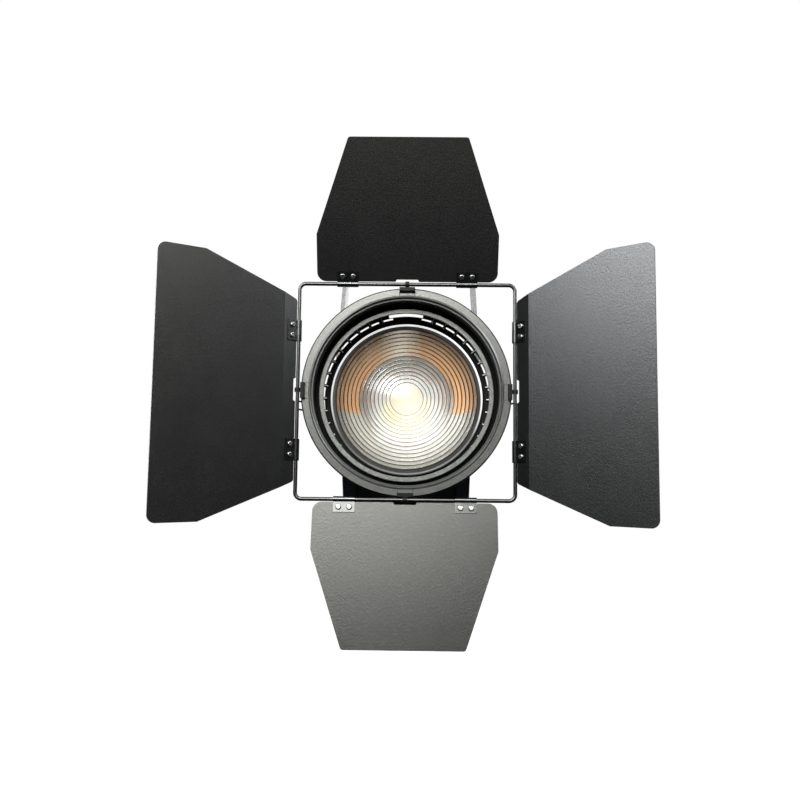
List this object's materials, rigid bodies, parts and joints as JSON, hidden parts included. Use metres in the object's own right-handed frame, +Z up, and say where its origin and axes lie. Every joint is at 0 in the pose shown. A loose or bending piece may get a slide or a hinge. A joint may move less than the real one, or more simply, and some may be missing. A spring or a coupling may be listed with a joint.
{
  "type": "fresnel spotlight",
  "caption": "Fresnel spotlight with a round barrel, a rotating ring of hinged barn doors, a focusing lamp carriage, a driver box and a bent yoke for hanging.",
  "frame": {"origin": "middle of the bolt hole in the yoke's crossbar, at half the bar's thickness", "axes": "+Z up; -Y the way the beam leaves, with the beam axis level; +X to the right of someone facing the lens. The yoke leans back 40 degrees from vertical at rest"},
  "size_m": [0.6038, 0.4807, 0.632],
  "materials": {
    "yoke_paint": "light grey powder coat",
    "barrel_paint": "black powder coat",
    "bezel_paint": "dark grey powder coat",
    "holder_black": "black enamel",
    "lens_glass": "clear pressed glass",
    "spring_steel": "spring steel",
    "copper_liner": "copper-coloured heat shield",
    "bright_liner": "bright aluminium",
    "housing_paint": "black powder coat",
    "fan_plastic": "moulded plastic",
    "zinc_wire": "zinc-plated wire",
    "cast_boss": "black anodised",
    "washer_fibre": "fibre",
    "zinc_steel": "zinc plated",
    "knob_plastic": "moulded, fine grain",
    "box_paint": "black powder coat",
    "rail_paint": "dark grey powder coat",
    "board_green": "circuit board",
    "panel_paint": "black powder coat",
    "display_glass": "display window",
    "socket_plastic": "moulded plastic",
    "rocker_red": "red rocker",
    "polished_rod": "ground steel",
    "plain_aluminium": "mill finish",
    "bronze_bush": "sintered bronze",
    "copper_block": "copper",
    "led_yellow": "phosphor",
    "white_frame": "white moulded frame",
    "screw_steel": "nickel-plated",
    "ring_paint": "grey fine-texture powder coat",
    "clip_black": "black",
    "wire_steel": "satin dark paint",
    "leaf_paint": "black fine-texture powder coat",
    "hinge_black": "gloss black paint"
  },
  "bodies": {
    "yoke": {"yoke": "yoke_paint"},
    "tilt_knob": {"tilt_knob": "knob_plastic", "tilt_stud": "zinc_steel"},
    "focus_drive": {"focus_knob": "knob_plastic", "lead_screw": "polished_rod"},
    "carriage": {"carriage_plate": "plain_aluminium", "carriage_bushes": "bronze_bush", "drive_nut": "bronze_bush", "heat_spreader": "copper_block", "heat_sink": "plain_aluminium", "cob_led": "led_yellow", "cob_frame": "white_frame"},
    "fan_rotor": {"fan_rotor": "fan_plastic"},
    "power_rocker": {"power_rocker": "rocker_red"},
    "dimmer_knob": {"dimmer_knob": "knob_plastic"},
    "menu_button": {"menu_button": "knob_plastic"},
    "latch_pin": {"latch_pin": "zinc_steel"},
    "door_ring": {"barndoor_ring": "ring_paint", "ring_clips": "clip_black", "wire_frame": "wire_steel"},
    "leaf_top": {"leaf_top": "leaf_paint", "hinge_clips_top": "hinge_black", "hinge_screws_top": "screw_steel"},
    "leaf_right": {"leaf_right": "leaf_paint", "hinge_clips_right": "hinge_black", "hinge_screws_right": "screw_steel"},
    "leaf_bottom": {"leaf_bottom": "leaf_paint", "hinge_clips_bottom": "hinge_black", "hinge_screws_bottom": "screw_steel"},
    "leaf_left": {"leaf_left": "leaf_paint", "hinge_clips_left": "hinge_black", "hinge_screws_left": "screw_steel"},
    "head": {"barrel": "barrel_paint", "bulkhead": "barrel_paint", "case_screws": "screw_steel", "control_panel": "panel_paint", "display_window": "display_glass", "driver_board": "board_green", "driver_box": "box_paint", "driver_box_rails": "rail_paint", "fan_frame": "fan_plastic", "fan_guard": "zinc_wire", "fresnel_lens": "lens_glass", "friction_washers": "washer_fibre", "front_bezel": "bezel_paint", "guide_rods": "polished_rod", "latch_block": "barrel_paint", "lens_clips": "spring_steel", "lens_holder": "holder_black", "liner_lower": "bright_liner", "liner_upper": "copper_liner", "pivot_bolt": "zinc_steel", "power_inlet": "socket_plastic", "power_switch": "socket_plastic", "rear_cover": "housing_paint", "rear_housing": "housing_paint", "ring_hooks": "barrel_paint", "rod_brackets": "cast_boss", "safety_eye": "zinc_steel", "tilt_bosses": "cast_boss"}
  },
  "joints": [
    {"name": "tilt", "type": "hinge", "parent": "yoke", "child": "head", "pos_m": [0, -0.21341, -0.25433], "axis": [1, 0, 0], "range_deg": [-60, 90]},
    {"name": "tilt_lock", "type": "hinge", "parent": "head", "child": "tilt_knob", "pos_m": [0.105, -0.21341, -0.25433], "axis": [1, 0, 0], "range_deg": [0, 180]},
    {"name": "door_ring_spin", "type": "hinge", "parent": "head", "child": "door_ring", "pos_m": [0, -0.3734, -0.25433], "axis": [0, 1, 0], "continuous": true},
    {"name": "leaf_top_hinge", "type": "hinge", "parent": "door_ring", "child": "leaf_top", "pos_m": [0, -0.3734, -0.11683], "axis": [1, 0, 0], "range_deg": [-24, 90]},
    {"name": "leaf_right_hinge", "type": "hinge", "parent": "door_ring", "child": "leaf_right", "pos_m": [0.1375, -0.3734, -0.25433], "axis": [0, 0, -1], "range_deg": [-35, 70]},
    {"name": "leaf_bottom_hinge", "type": "hinge", "parent": "door_ring", "child": "leaf_bottom", "pos_m": [0, -0.3734, -0.39183], "axis": [-1, 0, 0], "range_deg": [-13, 101]},
    {"name": "leaf_left_hinge", "type": "hinge", "parent": "door_ring", "child": "leaf_left", "pos_m": [-0.1375, -0.3734, -0.25433], "axis": [0, 0, 1], "range_deg": [-30, 75]},
    {"name": "focus_slide", "type": "slide", "parent": "head", "child": "carriage", "axis": [0, -1, 0], "range_m": [0, 0.06]},
    {"name": "focus_turn", "type": "hinge", "parent": "head", "child": "focus_drive", "pos_m": [0, -0.0334, -0.31633], "axis": [0, 1, 0], "range_deg": [0, 2160]},
    {"name": "fan_spin", "type": "hinge", "parent": "head", "child": "fan_rotor", "pos_m": [0, -0.0584, -0.24033], "axis": [0, 1, 0], "continuous": true},
    {"name": "power_rock", "type": "hinge", "parent": "head", "child": "power_rocker", "pos_m": [-0.052, -0.0519, -0.36833], "axis": [0, 0, 1], "range_deg": [0, 14]},
    {"name": "dimmer_turn", "type": "hinge", "parent": "head", "child": "dimmer_knob", "pos_m": [0.048, -0.0434, -0.38233], "axis": [0, 1, 0], "continuous": true},
    {"name": "menu_press", "type": "slide", "parent": "head", "child": "menu_button", "axis": [0, -1, 0], "range_m": [0, 0.002], "stiffness_N_per_m": 400, "springref_m": -0.001},
    {"name": "latch_pull", "type": "slide", "parent": "head", "child": "latch_pin", "axis": [0, 0, 1], "range_m": [0, 0.0022], "stiffness_N_per_m": 800, "springref_m": -0.002}
  ],
  "couplings": [
    {"joint": "focus_turn", "follows": "focus_slide", "rad_per_m": 628.32}
  ]
}
